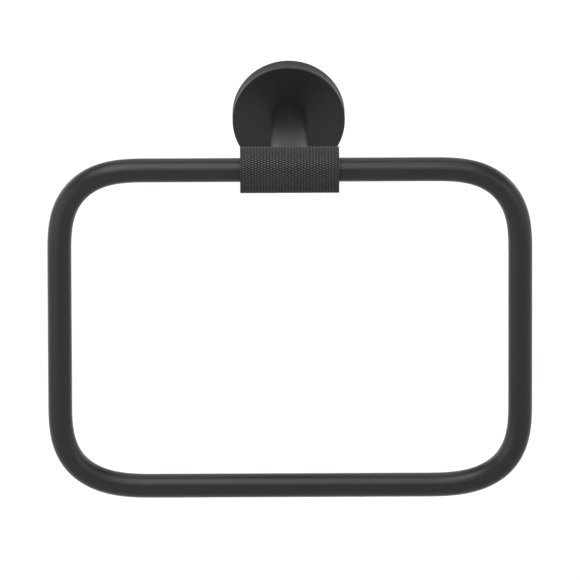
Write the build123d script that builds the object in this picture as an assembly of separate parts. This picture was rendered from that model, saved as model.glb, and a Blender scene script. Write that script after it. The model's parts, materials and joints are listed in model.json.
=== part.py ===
"""Wall-mounted towel ring: a rounded rectangular ring that swings in a knurled sleeve on a post.

Sizes are in mm. The wall is the plane Y = 0 and the part stands out from it along -Y.
X runs along the sleeve and Z is up. The origin is the centre of the wall plate's back face.
"""

import os
from math import cos, pi, sin

from build123d import *

# Ring, bent from round bar, with its two ends inside the sleeve
bar_d = 10.0
ring_width = 191.0  # between the centre lines of the side bars
ring_height = 139.0  # from the sleeve's axis to the centre line of the bottom bar
corner_r = 28.7  # of the bar's centre line
end_chamfer = 0.5
end_land = 1.5  # from the retaining groove to the end of the bar
groove_depth = 1.0

# Sleeve that carries the ring, with a diamond knurl all over its round face
sleeve_d = 19.4  # over the tips of the knurl
sleeve_length = 41.0
projection = 70.4  # from the wall to the sleeve's axis
knurl_length = 2.56  # of one diamond, along the sleeve
knurl_width = 1.025  # of one diamond, round the sleeve
knurl_depth = 0.35

# Nylon bushes at the sleeve's two ends
bush_wall = 1.2
bush_length = 6.0
bush_recess = 0.4  # from the sleeve's end to the bush

# Dog-point screws under the sleeve that keep the ring's ends in
retainer_d = 4.0
retainer_clear = 1.0  # from the bush to the screw's hole
retainer_recess = 0.4
dog_d = 2.5

# Rosette, post and the bolt that ties them to the sleeve
rosette_d = 46.8
rosette_depth = 8.7
rosette_front = 3.0  # thickness of the front wall
rosette_skirt = 4.1  # thickness of the side wall
rosette_round = 0.4
post_d = 15.0
tie_d = 6.0
tie_head_d = 10.0
tie_head_t = 3.0
tie_grip = 8.0  # thread inside the sleeve
washer_d = 11.0
washer_t = 1.0
washer_split = 1.0

# Wall plate behind the rosette, and the screw that locks the rosette on it
plate_undercut = 1.4  # how much smaller the rim is at the wall
wall_screw_spacing = 26.0
wall_screw_hole_d = 4.8
wall_screw_head_d = 9.0
rosette_screw_d = 4.0
rosette_screw_recess = 0.5

# Hexagon sockets, as shares of a screw's diameter
socket_share = 0.5
socket_depth_share = 0.45
tie_socket_af = 4.0
tie_socket_depth = 1.6

# Clearances
running_gap = 0.05  # ring in its bushes
seat_gap = 0.05  # pieces that bear on each other round a curve
thread_gap = 0.05  # screws in their threads
press_gap = 0.02  # bushes in the sleeve
bolt_gap = 0.3  # tie bolt in its holes
end_gap = 0.25  # ring's ends in the sleeve, past the bushes
end_float = 0.6  # behind the ring's ends
dog_side_gap = 0.25
dog_tip_gap = 0.2
plate_rim_gap = 0.3
plate_front_gap = 1.1
head_gap = 0.4  # round and behind the tie bolt's head

# Places that follow from the sizes above
bar_r = bar_d / 2
sleeve_r = sleeve_d / 2
half_sleeve = sleeve_length / 2
knurl_rows = 2 * round(sleeve_length / knurl_length)
knurl_columns = 2 * round(pi * sleeve_d / knurl_width)
bush_r = bar_r + running_gap + bush_wall
bush_end = bush_recess + bush_length
end_bore_r = bar_r + end_gap
groove_width = dog_d + 2 * dog_side_gap
groove_r = bar_r - groove_depth
retainer_inset = bush_end + retainer_clear + retainer_d / 2
ring_end_depth = retainer_inset + groove_width / 2 + end_land
end_bore_depth = ring_end_depth + end_float
rosette_r = rosette_d / 2
recess_r = rosette_r - rosette_skirt
recess_depth = rosette_depth - rosette_front
tie_hole_r = tie_d / 2 + bolt_gap
plate_r = recess_r - plate_rim_gap
plate_t = recess_depth - plate_front_gap
tie_head_back = recess_depth - washer_t - tie_head_t
tie_tip = projection - sleeve_r + tie_grip
rosette_screw_out = plate_t / 2

sleeve_centre = Vector(0, -projection, 0)
side_signs = {"left": -1, "right": 1}


def disc(radius, start, end):
    """Round solid on the post's axis, between two distances from the wall."""
    return extrude(Plane.XZ.offset(start) * Circle(radius), amount=end - start)


def sleeve_bar(radius, start, end):
    """Round solid on the sleeve's axis, between two places along X."""
    section = Plane(sleeve_centre + Vector(start, 0, 0), z_dir=(1, 0, 0)) * Circle(radius)
    return extrude(section, amount=end - start)


def spoke(hub, radius, start, end):
    """Round solid that points straight down from a hub, between two distances from it."""
    section = Plane(hub - Vector(0, 0, start), z_dir=(0, 0, -1)) * Circle(radius)
    return extrude(section, amount=end - start)


def hexagon(plane, across_flats):
    """Hexagon on a plane, by its size across flats."""
    return plane * RegularPolygon(across_flats / 2, 6, major_radius=False)


def down_socket(hub, size, mouth):
    """Hexagon socket in the lower end of a screw that points down from a hub."""
    depth = size * socket_depth_share
    bottom = Plane(hub - Vector(0, 0, mouth - depth), z_dir=(0, 0, -1))
    return extrude(hexagon(bottom, size * socket_share), amount=depth)


def retainer_hub(sign):
    """Point on the sleeve's axis above one retaining screw."""
    return sleeve_centre + Vector(sign * (half_sleeve - retainer_inset), 0, 0)


def make_wall_plate():
    """Disc with an undercut rim, two countersunk screw holes and a pocket for the tie bolt's head."""
    rim = [(0, 0), (plate_r - plate_undercut, 0), (plate_r, -plate_t), (0, -plate_t)]
    plate = revolve(make_face(Polyline(rim, close=True)), axis=Axis.Y)
    plate -= disc(tie_head_d / 2 + head_gap, tie_head_back - head_gap, plate_t)
    holes = Locations((-wall_screw_spacing / 2, 0), (wall_screw_spacing / 2, 0))
    countersink = (wall_screw_head_d - wall_screw_hole_d) / 2
    for place in holes:
        hole = place * Circle(wall_screw_hole_d / 2)
        mouth = place * Circle(wall_screw_head_d / 2)
        plate -= extrude(Plane.XZ * hole, amount=plate_t)
        sections = [Plane.XZ.offset(plate_t - countersink) * hole, Plane.XZ.offset(plate_t) * mouth]
        plate -= loft(sections)
    return plate


def make_rosette():
    """Turned cup with its open side at the wall and a tapped hole underneath."""
    body = disc(rosette_r, 0, rosette_depth)
    body = fillet(body.edges().sort_by(Axis.Y)[0], rosette_round)
    body -= disc(recess_r, 0, recess_depth)
    body -= disc(tie_hole_r, 0, rosette_depth)
    hub = Vector(0, -rosette_screw_out, 0)
    return body - spoke(hub, rosette_screw_d / 2 + thread_gap, plate_r, rosette_r)


def make_rosette_screw():
    """Cone-point set screw that bears on the wall plate's undercut rim."""
    hub = Vector(0, -rosette_screw_out, 0)
    point = rosette_screw_d / 4
    rim_r = plate_r - plate_undercut * (1 - (rosette_screw_out + point) / plate_t)
    tip = rim_r + seat_gap
    mouth = rosette_r - rosette_screw_recess
    screw = spoke(hub, rosette_screw_d / 2, tip, mouth)
    screw = chamfer(screw.edges().filter_by(GeomType.CIRCLE).sort_by(Axis.Z)[-1], point)
    return screw - down_socket(hub, rosette_screw_d, mouth)


def make_post():
    """Round post with its front end coped to sit on the sleeve."""
    post = disc(post_d / 2, rosette_depth, projection)
    post -= disc(tie_hole_r, rosette_depth, projection)
    return post - sleeve_bar(sleeve_r + seat_gap, -half_sleeve, half_sleeve)


def make_tie_bolt():
    """Low-head bolt from inside the rosette, through the post, into the sleeve."""
    bolt = disc(tie_head_d / 2, tie_head_back, tie_head_back + tie_head_t)
    bolt += disc(tie_d / 2, tie_head_back, tie_tip)
    socket = hexagon(Plane.XZ.offset(tie_head_back), tie_socket_af)
    return bolt - extrude(socket, amount=tie_socket_depth)


def make_tie_washer():
    """Split spring washer under the tie bolt's head."""
    start = tie_head_back + tie_head_t
    washer = disc(washer_d / 2, start, start + washer_t)
    washer -= disc(tie_hole_r, start, start + washer_t)
    split = Rectangle(washer_split, washer_d / 2, align=(Align.CENTER, Align.MIN))
    return washer - extrude(Plane.XZ.offset(start) * split, amount=washer_t)


def knurl_point(row, column):
    """Corner of the knurl's grid, which is by turns a diamond's tip and a crossing of two grooves."""
    is_tip = (row + column) % 2 == 0
    radius = sleeve_r if is_tip else sleeve_r - knurl_depth
    angle = 2 * pi * (column % knurl_columns) / knurl_columns
    along = sleeve_length * row / knurl_rows - half_sleeve
    return sleeve_centre + Vector(along, radius * sin(angle), radius * cos(angle))


def flat_face(points):
    """Flat face with the points as its corners."""
    return Face(Wire.make_polygon(points, close=True))


def knurled_bar():
    """Round bar covered in four-sided points, which two sets of crossing helical grooves leave."""
    facets = []
    for row in range(knurl_rows):
        for column in range(knurl_columns):
            corners = [
                knurl_point(row, column),
                knurl_point(row, column + 1),
                knurl_point(row + 1, column + 1),
                knurl_point(row + 1, column),
            ]
            first_tip = (row + column) % 2
            tip, crossing, far_tip, far_crossing = corners[first_tip:] + corners[:first_tip]
            facets.append(flat_face([tip, crossing, far_crossing]))
            facets.append(flat_face([far_tip, far_crossing, crossing]))
    for row in (0, knurl_rows):
        facets.append(flat_face([knurl_point(row, column) for column in range(knurl_columns)]))
    return Solid(Shell(facets))


def make_sleeve():
    """Knurled barrel with a stepped bore from each end and a solid middle for the tie bolt."""
    body = knurled_bar()
    for sign in side_signs.values():
        end = sign * half_sleeve
        body -= sleeve_bar(bush_r + press_gap, end - sign * bush_end, end)
        body -= sleeve_bar(end_bore_r, end - sign * end_bore_depth, end)
        body -= spoke(retainer_hub(sign), retainer_d / 2 + thread_gap, 0, sleeve_r)
    return body - disc(tie_d / 2 + thread_gap, projection - sleeve_r, tie_tip + end_float)


def make_bush(sign):
    """Plain nylon bush in one end of the sleeve."""
    outer_end = sign * (half_sleeve - bush_recess)
    inner_end = sign * (half_sleeve - bush_end)
    bush = sleeve_bar(bush_r, inner_end, outer_end)
    return bush - sleeve_bar(bar_r + running_gap, inner_end, outer_end)


def make_retaining_screw(sign):
    """Dog-point set screw whose point runs in the groove at one end of the ring."""
    hub = retainer_hub(sign)
    mouth = sleeve_r - retainer_recess
    screw = spoke(hub, retainer_d / 2, end_bore_r, mouth)
    screw += spoke(hub, dog_d / 2, groove_r + dog_tip_gap, end_bore_r)
    return screw - down_socket(hub, retainer_d, mouth)


def ring_bar(start, end):
    """Straight stretch of the ring between two points."""
    run = end - start
    return extrude(Plane(start, z_dir=run) * Circle(bar_r), amount=run.length)


def ring_bend(sign, level, turn):
    """Quarter bend of the ring, centred inside one corner, from its side bar by a signed angle."""
    centre = sleeve_centre + Vector(sign * (ring_width / 2 - corner_r), 0, level)
    start = centre + Vector(sign * corner_r, 0, 0)
    section = Plane(start, z_dir=(0, 0, 1)) * Circle(bar_r)
    return revolve(section, axis=Axis(centre, (0, -1, 0)), revolution_arc=turn)


def make_ring():
    """Round bar bent to a rounded rectangle, open inside the sleeve and grooved near its ends."""
    top = 0
    bottom = -ring_height
    side_x = ring_width / 2
    bend_x = side_x - corner_r
    end_x = half_sleeve - ring_end_depth
    ring = ring_bar(
        sleeve_centre + Vector(-bend_x, 0, bottom),
        sleeve_centre + Vector(bend_x, 0, bottom),
    )
    for sign in side_signs.values():
        ring += ring_bend(sign, bottom + corner_r, -90 * sign)
        ring += ring_bar(
            sleeve_centre + Vector(sign * side_x, 0, bottom + corner_r),
            sleeve_centre + Vector(sign * side_x, 0, top - corner_r),
        )
        ring += ring_bend(sign, top - corner_r, 90 * sign)
        arm = ring_bar(
            sleeve_centre + Vector(sign * end_x, 0, top),
            sleeve_centre + Vector(sign * bend_x, 0, top),
        )
        rims = arm.edges().filter_by(GeomType.CIRCLE)
        arm = chamfer(rims.sort_by_distance(sleeve_centre)[0], end_chamfer)
        groove_x = retainer_hub(sign).X
        groove = sleeve_bar(bar_d, groove_x - groove_width / 2, groove_x + groove_width / 2)
        groove -= sleeve_bar(groove_r, groove_x - groove_width / 2, groove_x + groove_width / 2)
        ring += arm - groove
    return ring


def make_parts():
    """Every piece by its name."""
    parts = {
        "wall_plate": make_wall_plate(),
        "rosette": make_rosette(),
        "rosette_screw": make_rosette_screw(),
        "post": make_post(),
        "tie_bolt": make_tie_bolt(),
        "tie_washer": make_tie_washer(),
        "sleeve": make_sleeve(),
        "ring": make_ring(),
    }
    for side, sign in side_signs.items():
        parts[f"bush_{side}"] = make_bush(sign)
        parts[f"retaining_screw_{side}"] = make_retaining_screw(sign)
    return parts


os.makedirs("parts", exist_ok=True)
for name, solid in make_parts().items():
    export_step(solid, f"parts/{name}.step")
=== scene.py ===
"""Looks of the towel ring: camera, studio, finishes and the ring's bends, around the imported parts.

Lengths are in metres and angles in degrees, unless a name or comment says otherwise. Colours are linear.
"""

import json
import math

import bpy
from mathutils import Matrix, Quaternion, Vector


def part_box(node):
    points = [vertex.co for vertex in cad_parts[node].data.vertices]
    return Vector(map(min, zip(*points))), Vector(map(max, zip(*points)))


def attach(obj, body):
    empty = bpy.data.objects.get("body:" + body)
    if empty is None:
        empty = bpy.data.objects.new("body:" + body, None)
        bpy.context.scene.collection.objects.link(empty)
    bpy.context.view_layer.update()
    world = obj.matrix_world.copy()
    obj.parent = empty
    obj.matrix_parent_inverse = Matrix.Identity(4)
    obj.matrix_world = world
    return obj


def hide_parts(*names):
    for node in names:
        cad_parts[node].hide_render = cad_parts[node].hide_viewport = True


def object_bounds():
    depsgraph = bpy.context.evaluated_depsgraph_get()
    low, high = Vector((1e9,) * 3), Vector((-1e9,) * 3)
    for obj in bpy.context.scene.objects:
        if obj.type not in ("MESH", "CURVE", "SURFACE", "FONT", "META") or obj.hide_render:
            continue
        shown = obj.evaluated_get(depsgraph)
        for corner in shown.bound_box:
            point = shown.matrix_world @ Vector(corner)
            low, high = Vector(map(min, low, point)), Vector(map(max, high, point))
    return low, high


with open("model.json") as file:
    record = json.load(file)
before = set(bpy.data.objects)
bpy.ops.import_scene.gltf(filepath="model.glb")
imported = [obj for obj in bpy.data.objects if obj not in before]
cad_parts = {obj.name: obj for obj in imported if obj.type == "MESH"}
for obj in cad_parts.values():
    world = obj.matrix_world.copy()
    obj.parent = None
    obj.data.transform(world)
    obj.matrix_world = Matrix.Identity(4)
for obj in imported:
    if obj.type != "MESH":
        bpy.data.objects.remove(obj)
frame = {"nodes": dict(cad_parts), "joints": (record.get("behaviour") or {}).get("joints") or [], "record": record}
cad_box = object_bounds()
sleeve_centre = Vector(frame["joints"][0]["pos_m"])

# Camera: a long lens a little above the ring, which shows the ring's sides nearly parallel
FRAME_PX = 580
PX_PER_METRE = 2416  # at the sleeve
SLEEVE_PX = (289.6, 169.8)  # place of the sleeve's centre in the frame
CAMERA_DISTANCE = 10.0
CAMERA_REACH = 40.0  # how far it sees
CAMERA_AZIMUTH = -0.3
CAMERA_ELEVATION = 19.67
CAMERA_ROLL = -0.15
SENSOR_WIDTH_MM = 36.0

# Studio: a pale floor under the ring, white all round, and soft boxes aimed at the object
WHITE = (1.0, 1.0, 1.0, 1.0)
WORLD_LIGHT = 0.12
FLOOR_DROP = 0.08  # from the ring down to the floor
FLOOR_SIZE = 12.0
FLOOR_COLOUR = (0.85, 0.85, 0.85, 1.0)
FLOOR_FADE = (0.1, 2.0)  # a near and a far distance from the origin
FLOOR_GLOW = (0.20, 1.0)  # strength of the floor's glow at those distances
LAMPS = {
    "top_softbox": {"azimuth": 0, "elevation": 67, "distance": 1.6, "size": 1.4, "watts": 11.6},
    "front_softbox": {"azimuth": 0, "elevation": 40, "distance": 1.6, "size": 0.9, "watts": 5.3},
    "right_front_softbox": {"azimuth": 45, "elevation": 20, "distance": 1.6, "size": 0.9, "watts": 3.8},
    "top_back_softbox": {"azimuth": 180, "elevation": 60, "distance": 1.6, "size": 0.9, "watts": 2.3},
    "back_left_softbox": {"azimuth": -135, "elevation": 15, "distance": 1.6, "size": 0.9, "watts": 3.4},
    "back_right_softbox": {"azimuth": 135, "elevation": 15, "distance": 1.6, "size": 0.9, "watts": 3.4},
    "left_softbox": {"azimuth": -80, "elevation": 0, "distance": 0.9, "size": 0.9, "watts": 3.2},
    "left_front_softbox": {"azimuth": -45, "elevation": 0, "distance": 0.6, "size": 0.4, "watts": 0.5},
    "right_softbox": {"azimuth": 80, "elevation": 0, "distance": 0.9, "size": 0.9, "watts": 2.0},
    "top_left_softbox": {"azimuth": -40, "elevation": 60, "distance": 0.6, "size": 0.4, "watts": 1.5},
}

# What the finishes share
UNIT = (0.0, 1.0)
NOISE_RANGE = (0.3, 0.7)  # where most of a noise's values lie
NOISE_DETAIL = 2.0
PLAIN_SPECULAR = 0.5

# Black coat of the ring, post and rosette
COAT_COLOURS = ((0.0085, 0.0097, 0.0091, 1.0), (0.0104, 0.0117, 0.0111, 1.0))
COAT_ROUGHNESS = (0.28, 0.33)
COAT_SPECULAR = 0.225
COAT_CLOUD = 0.009
COAT_GRAIN = 0.00022
COAT_GRAIN_DEPTH = 0.000004
COAT_GRAIN_STRENGTH = 0.5
RIM_DULLNESS = 0.42  # roughness that the rosette's rim gains at the wall
RIM_RISE = 0.4  # power of its rise from the rosette's front

# Black coat of the sleeve's knurl: pairs go from its grooves to its tips, and its colours are painted shade in the
# grooves and a painted highlight on the tips
KNURL_DEPTH = 0.00035
KNURL_FLATS = (0.42, 0.57)  # shares of the depth where a flat starts and where it is full
# painted shade in the grooves, painted highlight on the tips
KNURL_PAINTED_SHADE_AND_HIGHLIGHT = ((0.0007, 0.0008, 0.0007, 1.0), (0.0420, 0.0470, 0.0449, 1.0))
KNURL_ROUGHNESS = (0.70, 0.32)
KNURL_SPECULAR = 0.34
KNURL_FACING = 0.5  # least cosine between a facet and straight out, so that ends and bores have no flats

# Finishes of the small pieces
SPECKLE_DEPTH = 0.00001
SPECKLE_STRENGTH = 0.4
SPECKLED_FINISHES = {
    "black_screw": {
        "colours": ((0.020, 0.020, 0.020, 1.0), (0.034, 0.033, 0.032, 1.0)),
        "roughness": (0.34, 0.46),
        "grain": 0.0004,
        "metallic": 1.0,
    },
    "plain_steel": {
        "colours": ((0.44, 0.45, 0.46, 1.0), (0.60, 0.60, 0.59, 1.0)),
        "roughness": (0.28, 0.42),
        "grain": 0.0011,
        "metallic": 1.0,
    },
    "black_nylon": {
        "colours": ((0.011, 0.011, 0.012, 1.0), (0.016, 0.016, 0.017, 1.0)),
        "roughness": (0.45, 0.60),
        "grain": 0.0003,
        "metallic": 0.0,
    },
}

# Ring: each bend as the lengths of bar that ease in, hold the tightest curve and ease out
TOP_BEND = (0.0238, 0.0143, 0.0238)
BOTTOM_BEND = (0.0244, 0.0074, 0.0331)
BEND_STEPS = 40
STRAIGHT_STEP = 0.006
BAR_SIDES = 64
SHARP_ANGLE = 30
QUARTER_TURN = math.pi / 2  # in radians
# Ring's right end: its place, then its chamfer and groove as distances from the end with depths of cut
RING_END_X = 0.0081
RING_END_CUTS = ((0, 0.0005), (0.0005, 0), (0.0015, 0), (0.0015, 0.001), (0.0045, 0.001), (0.0045, 0))


def add_object(name, data):
    """New object in the scene."""
    thing = bpy.data.objects.new(name, data)
    bpy.context.scene.collection.objects.link(thing)
    return thing


def put(thing, place, turn):
    """Set where an object stands and how it is turned."""
    thing.location = place
    thing.rotation_mode = "QUATERNION"
    thing.rotation_quaternion = turn


def outward(azimuth, elevation):
    """Direction away from the object, by degrees round from its front and up."""
    azimuth = math.radians(azimuth)
    elevation = math.radians(elevation)
    level = math.cos(elevation)
    return Vector((math.sin(azimuth) * level, -math.cos(azimuth) * level, math.sin(elevation)))


def looking_back(direction):
    """Turn of a camera or lamp that looks back along a direction."""
    return (-direction).to_track_quat("-Z", "Y")


def make_camera():
    """Camera that puts the sleeve's centre on its place in the photograph's frame."""
    back = outward(CAMERA_AZIMUTH, CAMERA_ELEVATION)
    turn = looking_back(back) @ Quaternion((0, 0, 1), math.radians(CAMERA_ROLL))
    right = turn @ Vector((1, 0, 0))
    up = turn @ Vector((0, 1, 0))
    across, down = [(pixel - FRAME_PX / 2) / PX_PER_METRE for pixel in SLEEVE_PX]
    aim = sleeve_centre - right * across + up * down
    data = bpy.data.cameras.new("photo_camera")
    data.sensor_width = SENSOR_WIDTH_MM
    data.lens = SENSOR_WIDTH_MM * CAMERA_DISTANCE * PX_PER_METRE / FRAME_PX
    data.clip_end = CAMERA_REACH
    camera = add_object("photo_camera", data)
    put(camera, aim + back * CAMERA_DISTANCE, turn)
    bpy.context.scene.camera = camera


def make_lamps():
    """Soft boxes above, in front, behind and at both sides, aimed at the object's middle."""
    middle = (cad_box[0] + cad_box[1]) / 2
    for name, lamp in LAMPS.items():
        data = bpy.data.lights.new(name, "AREA")
        data.size = lamp["size"]
        data.energy = lamp["watts"]
        direction = outward(lamp["azimuth"], lamp["elevation"])
        light = add_object(name, data)
        put(light, middle + direction * lamp["distance"], looking_back(direction))


def new_tree(owner):
    """Empty node tree of a material or world."""
    owner.use_nodes = True
    owner.node_tree.nodes.clear()
    return owner.node_tree


def feed(tree, node, inputs):
    """Link a node's inputs to sockets, or set them to fixed values."""
    for key, value in inputs.items():
        if isinstance(value, bpy.types.NodeSocket):
            tree.links.new(value, node.inputs[key])
        else:
            node.inputs[key].default_value = value


def add_node(tree, kind, inputs):
    """New node with its inputs."""
    node = tree.nodes.new(kind)
    feed(tree, node, inputs)
    return node


def math_node(tree, operation, first, second):
    """Socket of a number worked out from two others."""
    node = add_node(tree, "ShaderNodeMath", {0: first, 1: second})
    node.operation = operation
    return node.outputs["Value"]


def vector_node(tree, operation, *vectors):
    """Outputs of a node that works on vectors: Vector, or Value for a length or product."""
    node = add_node(tree, "ShaderNodeVectorMath", dict(enumerate(vectors)))
    node.operation = operation
    return node.outputs


def mix_node(tree, kind, share, first, second):
    """Socket of a colour or vector between two others, by a share from 0 to 1."""
    node = tree.nodes.new("ShaderNodeMix")
    node.data_type = kind
    feed(tree, node, {"Factor": share, "A": first, "B": second})
    return node.outputs["Result"]


def mix_shaders(tree, share, first, second):
    """Socket of a mix of two shaders, by the second one's share."""
    return add_node(tree, "ShaderNodeMixShader", {"Fac": share, 1: first, 2: second}).outputs[0]


def remap(tree, value, source, target):
    """Socket that goes over the target range as a value goes over the source range."""
    inputs = {
        "Value": value,
        "From Min": source[0],
        "From Max": source[1],
        "To Min": target[0],
        "To Max": target[1],
    }
    return add_node(tree, "ShaderNodeMapRange", inputs).outputs["Result"]


def object_place(tree):
    """Socket of the place on the object."""
    return tree.nodes.new("ShaderNodeTexCoord").outputs["Object"]


def seen_directly(tree):
    """Socket that is 1 for rays from the camera, from gloss and through glass, and 0 for diffuse light."""
    rays = tree.nodes.new("ShaderNodeLightPath").outputs
    seen = rays["Is Camera Ray"]
    for kind in ("Is Glossy Ray", "Is Transmission Ray"):
        seen = math_node(tree, "MAXIMUM", seen, rays[kind])
    return seen


def make_world():
    """Surroundings that are seen white and light the object more softly."""
    world = bpy.data.worlds.new("studio")
    tree = new_tree(world)
    soft = add_node(tree, "ShaderNodeBackground", {"Color": WHITE, "Strength": WORLD_LIGHT}).outputs[0]
    white = add_node(tree, "ShaderNodeBackground", {"Color": WHITE}).outputs[0]
    shown = mix_shaders(tree, seen_directly(tree), soft, white)
    add_node(tree, "ShaderNodeOutputWorld", {"Surface": shown})
    bpy.context.scene.world = world


def floor_paint():
    """Pale paint that shows the object's shadow, glows where it is seen, and is clear from below."""
    material = bpy.data.materials.new("pale_floor")
    tree = new_tree(material)
    paint = add_node(tree, "ShaderNodeBsdfDiffuse", {"Color": FLOOR_COLOUR}).outputs[0]
    distance = vector_node(tree, "LENGTH", object_place(tree))["Value"]
    strength = remap(tree, distance, FLOOR_FADE, FLOOR_GLOW)
    glow = add_node(tree, "ShaderNodeEmission", {"Strength": strength}).outputs[0]
    glowing = add_node(tree, "ShaderNodeAddShader", {0: paint, 1: glow}).outputs[0]
    top = mix_shaders(tree, seen_directly(tree), paint, glowing)
    below = tree.nodes.new("ShaderNodeNewGeometry").outputs["Backfacing"]
    clear = tree.nodes.new("ShaderNodeBsdfTransparent").outputs[0]
    add_node(tree, "ShaderNodeOutputMaterial", {"Surface": mix_shaders(tree, below, top, clear)})
    return material


def make_floor():
    """Plain pale floor below the ring."""
    half = FLOOR_SIZE / 2
    level = cad_box[0].z - FLOOR_DROP
    corners = [(-half, -half, level), (half, -half, level), (half, half, level), (-half, half, level)]
    mesh = bpy.data.meshes.new("floor")
    mesh.from_pydata(corners, [], [(0, 1, 2, 3)])
    mesh.materials.append(floor_paint())
    floor = add_object("floor", mesh)


def add_surface(tree, colour, roughness, normal, specular=PLAIN_SPECULAR, metallic=0.0):
    """Surface shader of a finish."""
    inputs = {
        "Base Color": colour,
        "Roughness": roughness,
        "Normal": normal,
        "Specular IOR Level": specular,
        "Metallic": metallic,
    }
    shader = add_node(tree, "ShaderNodeBsdfPrincipled", inputs)
    add_node(tree, "ShaderNodeOutputMaterial", {"Surface": shader.outputs[0]})


def noise(tree, size):
    """Socket of a noise with features of about this size."""
    inputs = {"Vector": object_place(tree), "Scale": 1 / size, "Detail": NOISE_DETAIL}
    return add_node(tree, "ShaderNodeTexNoise", inputs).outputs["Fac"]


def bump(tree, height, depth, strength):
    """Socket of a normal that follows a height of 0 to 1, at this depth."""
    inputs = {"Height": height, "Distance": depth, "Strength": strength}
    return add_node(tree, "ShaderNodeBump", inputs).outputs["Normal"]


def rim_dullness(tree):
    """Socket of the roughness that is added behind the rosette's front, most at the wall."""
    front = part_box("rosette")[0].y
    place = add_node(tree, "ShaderNodeSeparateXYZ", {0: object_place(tree)}).outputs["Y"]
    behind = remap(tree, place, (front, 0), UNIT)
    return math_node(tree, "MULTIPLY", math_node(tree, "POWER", behind, RIM_RISE), RIM_DULLNESS)


def black_coat():
    """Matte black coating on metal, with a fine grain and a faintly uneven sheen."""
    material = bpy.data.materials.new("black_coat")
    tree = new_tree(material)
    grain = noise(tree, COAT_GRAIN)
    colour = mix_node(tree, "RGBA", remap(tree, grain, NOISE_RANGE, UNIT), *COAT_COLOURS)
    sheen = remap(tree, noise(tree, COAT_CLOUD), NOISE_RANGE, COAT_ROUGHNESS)
    roughness = math_node(tree, "ADD", sheen, rim_dullness(tree))
    normal = bump(tree, grain, COAT_GRAIN_DEPTH, COAT_GRAIN_STRENGTH)
    add_surface(tree, colour, roughness, normal, specular=COAT_SPECULAR)
    return material


def from_sleeve_axis(tree):
    """Socket of the vector from the sleeve's axis to the surface, square to the axis."""
    offset = vector_node(tree, "SUBTRACT", object_place(tree), sleeve_centre)["Vector"]
    return vector_node(tree, "MULTIPLY", offset, (0, 1, 1))["Vector"]


def knurl_height(tree, spoke):
    """Socket that is 0 in the knurl's grooves and 1 on its tips."""
    low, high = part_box("sleeve")
    tip = (high.z - low.z) / 2
    distance = vector_node(tree, "LENGTH", spoke)["Value"]
    return remap(tree, distance, (tip - KNURL_DEPTH, tip), UNIT)


def turned_to_world(tree, normal):
    """Socket of an object's normal, as it points in the world."""
    node = add_node(tree, "ShaderNodeVectorTransform", {"Vector": normal})
    node.vector_type = "NORMAL"
    node.convert_from = "OBJECT"
    node.convert_to = "WORLD"
    return node.outputs["Vector"]


def flattened_tips(tree, spoke, height):
    """Sockets of the share of flat on each tip, and of the normal, which is straight out on a flat."""
    out = turned_to_world(tree, vector_node(tree, "NORMALIZE", spoke)["Vector"])
    facet = tree.nodes.new("ShaderNodeNewGeometry").outputs["Normal"]
    facing = vector_node(tree, "DOT_PRODUCT", facet, out)["Value"]
    on_knurl = math_node(tree, "GREATER_THAN", facing, KNURL_FACING)
    flat = math_node(tree, "MULTIPLY", remap(tree, height, KNURL_FLATS, UNIT), on_knurl)
    normal = mix_node(tree, "VECTOR", flat, facet, out)
    return flat, vector_node(tree, "NORMALIZE", normal)["Vector"]


def black_knurl():
    """Black coating on the knurl, with painted shade in its grooves, painted highlights on its tips, and tips
    rubbed to small smoother flats.
    """
    material = bpy.data.materials.new("black_knurl")
    tree = new_tree(material)
    spoke = from_sleeve_axis(tree)
    flat, normal = flattened_tips(tree, spoke, knurl_height(tree, spoke))
    # painted shade in the grooves and painted highlights on the tips, by the share of flat
    colour = mix_node(tree, "RGBA", flat, *KNURL_PAINTED_SHADE_AND_HIGHLIGHT)
    roughness = remap(tree, flat, UNIT, KNURL_ROUGHNESS)
    add_surface(tree, colour, roughness, normal, specular=KNURL_SPECULAR)
    return material


def speckled(name, colours, roughness, grain, metallic):
    """Finish with a fine uneven colour, sheen and surface."""
    material = bpy.data.materials.new(name)
    tree = new_tree(material)
    speckle = noise(tree, grain)
    colour = mix_node(tree, "RGBA", remap(tree, speckle, NOISE_RANGE, UNIT), *colours)
    sheen = remap(tree, speckle, NOISE_RANGE, roughness)
    normal = bump(tree, speckle, SPECKLE_DEPTH, SPECKLE_STRENGTH)
    add_surface(tree, colour, sheen, normal, metallic=metallic)
    return material


def make_finishes():
    """Material of each slot in the record."""
    finishes = {"black_coat": black_coat(), "black_knurl": black_knurl()}
    for name, look in SPECKLED_FINISHES.items():
        finishes[name] = speckled(name, **look)
    return finishes


def dress_nodes(finishes):
    """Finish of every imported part."""
    for part in frame["record"]["subparts"]:
        mesh = frame["nodes"][part["node"]].data
        mesh.materials.clear()
        mesh.materials.append(finishes[part["material_slot"]])


def travel(heading):
    """Direction in the ring's plane, by radians from straight right, where a quarter turn is down."""
    return Vector((math.cos(heading), 0, -math.sin(heading)))


def bend(start, ease_in, hold, ease_out):
    """Headings at even steps round a quarter bend from a heading, and the length of a step."""
    length = ease_in + hold + ease_out
    tightest = QUARTER_TURN / (ease_in / 2 + hold + ease_out / 2)
    headings = []
    for step in range(BEND_STEPS + 1):
        run = length * step / BEND_STEPS
        left = length - run
        if run < ease_in:
            turned = tightest * run**2 / (2 * ease_in)
        elif left < ease_out:
            turned = QUARTER_TURN - tightest * left**2 / (2 * ease_out)
        else:
            turned = tightest * (run - ease_in / 2)
        headings.append(start + turned)
    return headings, length / BEND_STEPS


def follow(place, headings, step):
    """Places with headings along a path, after the place where it starts."""
    path = []
    for before, after in zip(headings, headings[1:]):
        place = place + travel((before + after) / 2) * step
        path.append((place, after))
    return path


def straight(place, heading, length):
    """Places with headings along a straight stretch, after the place where it starts."""
    count = math.ceil(length / STRAIGHT_STEP)
    return follow(place, [heading] * (count + 1), length / count)


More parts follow.
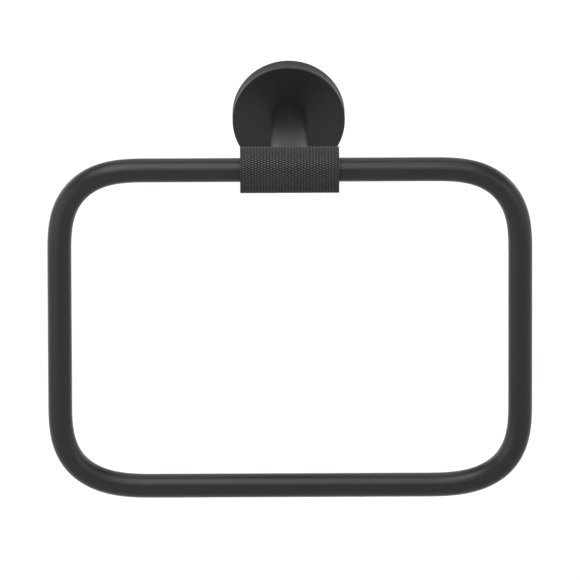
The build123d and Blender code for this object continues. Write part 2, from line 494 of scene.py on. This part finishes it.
def right_half(start, side, bottom):
    """Places with headings on the ring's centre line, after a start to the middle of the bottom bar."""
    top_bend = bend(0, *TOP_BEND)
    low_bend = bend(QUARTER_TURN, *BOTTOM_BEND)
    top_reach = follow(Vector(), *top_bend)[-1][0]
    low_reach = follow(Vector(), *low_bend)[-1][0]
    path = straight(start, 0, side - top_reach.x - start.x)
    path += follow(path[-1][0], *top_bend)
    path += straight(path[-1][0], QUARTER_TURN, start.z - bottom + top_reach.z + low_reach.z)
    path += follow(path[-1][0], *low_bend)
    path += straight(path[-1][0], 2 * QUARTER_TURN, path[-1][0].x)
    return path


def ring_sections():
    """Places, headings and radii of the whole ring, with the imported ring's bar, sides and ends."""
    low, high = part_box("ring")
    bar = (high.y - low.y) / 2
    sections = []
    for run, cut in RING_END_CUTS:
        place = Vector((RING_END_X + run, sleeve_centre.y, sleeve_centre.z))
        sections.append((place, 0, bar - cut))
    start = sections[-1][0]
    for place, heading in right_half(start, high.x - bar, low.z + bar):
        sections.append((place, heading, bar))
    for place, heading, radius in reversed(sections[:-1]):
        sections.append((Vector((-place.x, place.y, place.z)), -heading, radius))
    return sections


def tube(name, sections):
    """Mesh of a round bar through sections, closed at both ends."""
    corners = []
    for place, heading, radius in sections:
        out = travel(heading - QUARTER_TURN)
        for side in range(BAR_SIDES):
            turn = math.tau * side / BAR_SIDES
            spoke = out * math.cos(turn) + Vector((0, math.sin(turn), 0))
            corners.append(place + spoke * radius)
    last = len(corners) - BAR_SIDES
    faces = [tuple(range(BAR_SIDES)), tuple(reversed(range(last, len(corners))))]
    for first in range(0, last, BAR_SIDES):
        for side in range(BAR_SIDES):
            here = first + side
            beside = first + (side + 1) % BAR_SIDES
            faces.append((here, here + BAR_SIDES, beside + BAR_SIDES, beside))
    mesh = bpy.data.meshes.new(name)
    mesh.from_pydata(corners, [], faces)
    mesh.shade_smooth()
    mesh.set_sharp_from_angle(angle=math.radians(SHARP_ANGLE))
    return mesh


def make_bent_ring(coat):
    """Ring whose bends ease in and out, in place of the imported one."""
    mesh = tube("bent_ring", ring_sections())
    mesh.materials.append(coat)
    ring = add_object("bent_ring", mesh)
    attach(ring, "ring")
    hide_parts("ring")


bpy.context.scene.view_settings.view_transform = "Standard"
make_camera()
make_world()
make_floor()
make_lamps()
finishes = make_finishes()
dress_nodes(finishes)
make_bent_ring(finishes["black_coat"])
